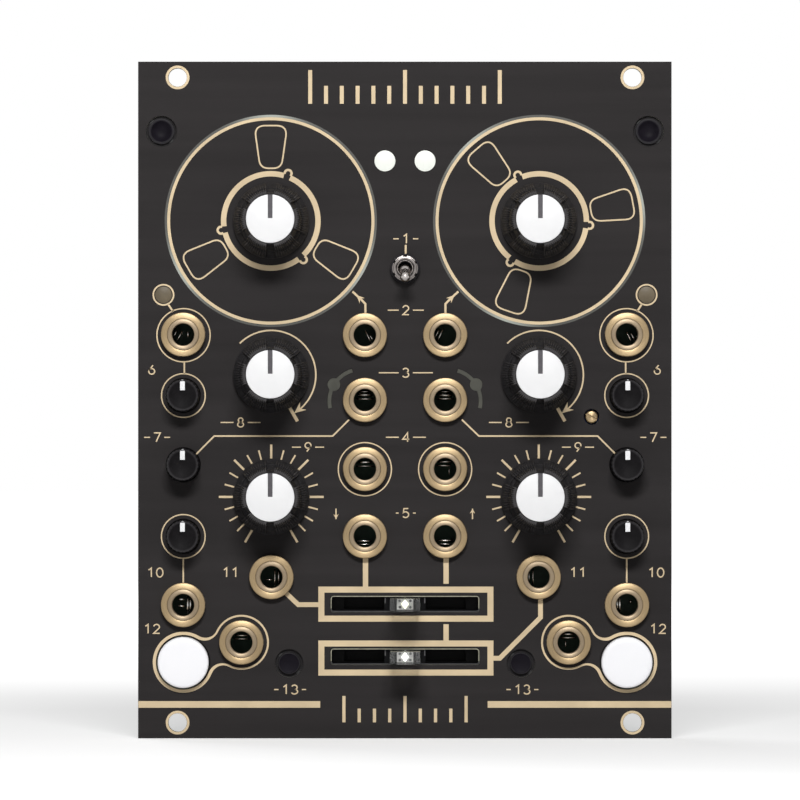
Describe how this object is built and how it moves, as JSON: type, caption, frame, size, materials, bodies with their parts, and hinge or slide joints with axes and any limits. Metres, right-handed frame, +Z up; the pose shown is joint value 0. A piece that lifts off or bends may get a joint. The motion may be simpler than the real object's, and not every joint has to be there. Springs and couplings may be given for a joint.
{
  "type": "eurorack delay module",
  "caption": "Rack panel module with mirrored channels: fluted knobs, small knobs, jacks, sliders, toggle switch and lit buttons over two circuit boards.",
  "frame": {"origin": "centre of the four rail screw holes on the panel's front face", "axes": "+X to the right and +Z up as seen from the front; the front faces -Y, the electronics lie at +Y"},
  "size_m": [0.1013, 0.0514, 0.1284],
  "materials": {
    "panel": "black solder mask on a glass fibre plate",
    "board": "green solder mask",
    "brass": "turned brass",
    "brass_plated": "plated pillars",
    "steel": "nickel plated",
    "chrome": "polished",
    "aluminium": "satin can",
    "black_plastic": "moulded",
    "trimmer_plastic": "moulded blue",
    "knob_plastic": "fine satin moulding",
    "cap_white": "satin white with a dark pointer",
    "button_white": "translucent white, lit",
    "light_white": "lit",
    "clear_plastic": "clear, lit from inside"
  },
  "bodies": {
    "module": {"panel": "panel", "front_board": "board", "rear_board": "board", "board_spacers": "brass_plated", "jack_bushings": "steel", "jack_nuts": "brass", "jack_housings": "black_plastic", "jack_contacts": "steel", "pot_housings": "black_plastic", "control_bushings": "steel", "control_nuts": "steel", "small_pot_housings": "black_plastic", "toggle_housing": "black_plastic", "slide_pot_frames": "steel", "switch_housings": "black_plastic", "calibration_trimmer_body": "trimmer_plastic", "window_lights": "light_white", "board_connectors": "black_plastic", "power_header": "black_plastic", "power_pins": "brass", "board_chips": "black_plastic", "board_capacitors": "aluminium"},
    "speed_left": {"speed_left_knob": "knob_plastic", "speed_left_cap": "cap_white", "speed_left_shaft": "steel"},
    "length_left": {"length_left_knob": "knob_plastic", "length_left_cap": "cap_white", "length_left_shaft": "steel"},
    "start_left": {"start_left_knob": "knob_plastic", "start_left_cap": "cap_white", "start_left_shaft": "steel"},
    "speed_right": {"speed_right_knob": "knob_plastic", "speed_right_cap": "cap_white", "speed_right_shaft": "steel"},
    "length_right": {"length_right_knob": "knob_plastic", "length_right_cap": "cap_white", "length_right_shaft": "steel"},
    "start_right": {"start_right_knob": "knob_plastic", "start_right_cap": "cap_white", "start_right_shaft": "steel"},
    "input_left": {"input_left_knob": "knob_plastic"},
    "time_left": {"time_left_knob": "knob_plastic"},
    "output_left": {"output_left_knob": "knob_plastic"},
    "input_right": {"input_right_knob": "knob_plastic"},
    "time_right": {"time_right_knob": "knob_plastic"},
    "output_right": {"output_right_knob": "knob_plastic"},
    "toggle": {"toggle_lever": "chrome"},
    "upper_slider": {"upper_slider_carriage": "black_plastic", "upper_slider_lever": "clear_plastic"},
    "lower_slider": {"lower_slider_carriage": "black_plastic", "lower_slider_lever": "clear_plastic"},
    "record_left": {"record_button_left": "button_white"},
    "erase_left": {"erase_button_left": "black_plastic"},
    "corner_left": {"corner_button_left": "black_plastic"},
    "record_right": {"record_button_right": "button_white"},
    "erase_right": {"erase_button_right": "black_plastic"},
    "corner_right": {"corner_button_right": "black_plastic"},
    "calibration": {"calibration_screw": "brass"}
  },
  "joints": [
    {"name": "speed_left_turn", "type": "hinge", "parent": "module", "child": "speed_left", "pos_m": [-0.0254, 0, 0.034], "axis": [0, -1, 0], "range_deg": [-150, 150]},
    {"name": "length_left_turn", "type": "hinge", "parent": "module", "child": "length_left", "pos_m": [-0.0254, 0, 0.00475], "axis": [0, -1, 0], "range_deg": [-150, 150]},
    {"name": "start_left_turn", "type": "hinge", "parent": "module", "child": "start_left", "pos_m": [-0.0254, 0, -0.0184], "axis": [0, -1, 0], "range_deg": [-150, 150]},
    {"name": "speed_right_turn", "type": "hinge", "parent": "module", "child": "speed_right", "pos_m": [0.0254, 0, 0.034], "axis": [0, -1, 0], "range_deg": [-150, 150]},
    {"name": "length_right_turn", "type": "hinge", "parent": "module", "child": "length_right", "pos_m": [0.0254, 0, 0.00475], "axis": [0, -1, 0], "range_deg": [-150, 150]},
    {"name": "start_right_turn", "type": "hinge", "parent": "module", "child": "start_right", "pos_m": [0.0254, 0, -0.0184], "axis": [0, -1, 0], "range_deg": [-150, 150]},
    {"name": "input_left_turn", "type": "hinge", "parent": "module", "child": "input_left", "pos_m": [-0.0421, 0, 0.00085], "axis": [0, -1, 0], "range_deg": [-140, 140]},
    {"name": "time_left_turn", "type": "hinge", "parent": "module", "child": "time_left", "pos_m": [-0.0421, 0, -0.0123], "axis": [0, -1, 0], "range_deg": [-140, 140]},
    {"name": "output_left_turn", "type": "hinge", "parent": "module", "child": "output_left", "pos_m": [-0.0421, 0, -0.0259], "axis": [0, -1, 0], "range_deg": [-140, 140]},
    {"name": "input_right_turn", "type": "hinge", "parent": "module", "child": "input_right", "pos_m": [0.0421, 0, 0.00085], "axis": [0, -1, 0], "range_deg": [-140, 140]},
    {"name": "time_right_turn", "type": "hinge", "parent": "module", "child": "time_right", "pos_m": [0.0421, 0, -0.0123], "axis": [0, -1, 0], "range_deg": [-140, 140]},
    {"name": "output_right_turn", "type": "hinge", "parent": "module", "child": "output_right", "pos_m": [0.0421, 0, -0.0259], "axis": [0, -1, 0], "range_deg": [-140, 140]},
    {"name": "toggle_throw", "type": "hinge", "parent": "module", "child": "toggle", "pos_m": [0, -0.0005, 0.02495], "axis": [-1, 0, 0], "range_deg": [0, 24]},
    {"name": "upper_slider_slide", "type": "slide", "parent": "module", "child": "upper_slider", "axis": [1, 0, 0], "range_m": [-0.01, 0.01]},
    {"name": "lower_slider_slide", "type": "slide", "parent": "module", "child": "lower_slider", "axis": [1, 0, 0], "range_m": [-0.01, 0.01]},
    {"name": "record_left_press", "type": "slide", "parent": "module", "child": "record_left", "axis": [0, 1, 0], "range_m": [0, 0.0015], "stiffness_N_per_m": 800, "springref_m": -0.001},
    {"name": "erase_left_press", "type": "slide", "parent": "module", "child": "erase_left", "axis": [0, 1, 0], "range_m": [0, 0.0003], "stiffness_N_per_m": 3000, "springref_m": -0.0002},
    {"name": "corner_left_press", "type": "slide", "parent": "module", "child": "corner_left", "axis": [0, 1, 0], "range_m": [0, 0.0003], "stiffness_N_per_m": 3000, "springref_m": -0.0002},
    {"name": "record_right_press", "type": "slide", "parent": "module", "child": "record_right", "axis": [0, 1, 0], "range_m": [0, 0.0015], "stiffness_N_per_m": 800, "springref_m": -0.001},
    {"name": "erase_right_press", "type": "slide", "parent": "module", "child": "erase_right", "axis": [0, 1, 0], "range_m": [0, 0.0003], "stiffness_N_per_m": 3000, "springref_m": -0.0002},
    {"name": "corner_right_press", "type": "slide", "parent": "module", "child": "corner_right", "axis": [0, 1, 0], "range_m": [0, 0.0003], "stiffness_N_per_m": 3000, "springref_m": -0.0002},
    {"name": "calibration_turn", "type": "hinge", "parent": "module", "child": "calibration", "pos_m": [0.03545, 0, -0.0032], "axis": [0, -1, 0], "continuous": true}
  ]
}
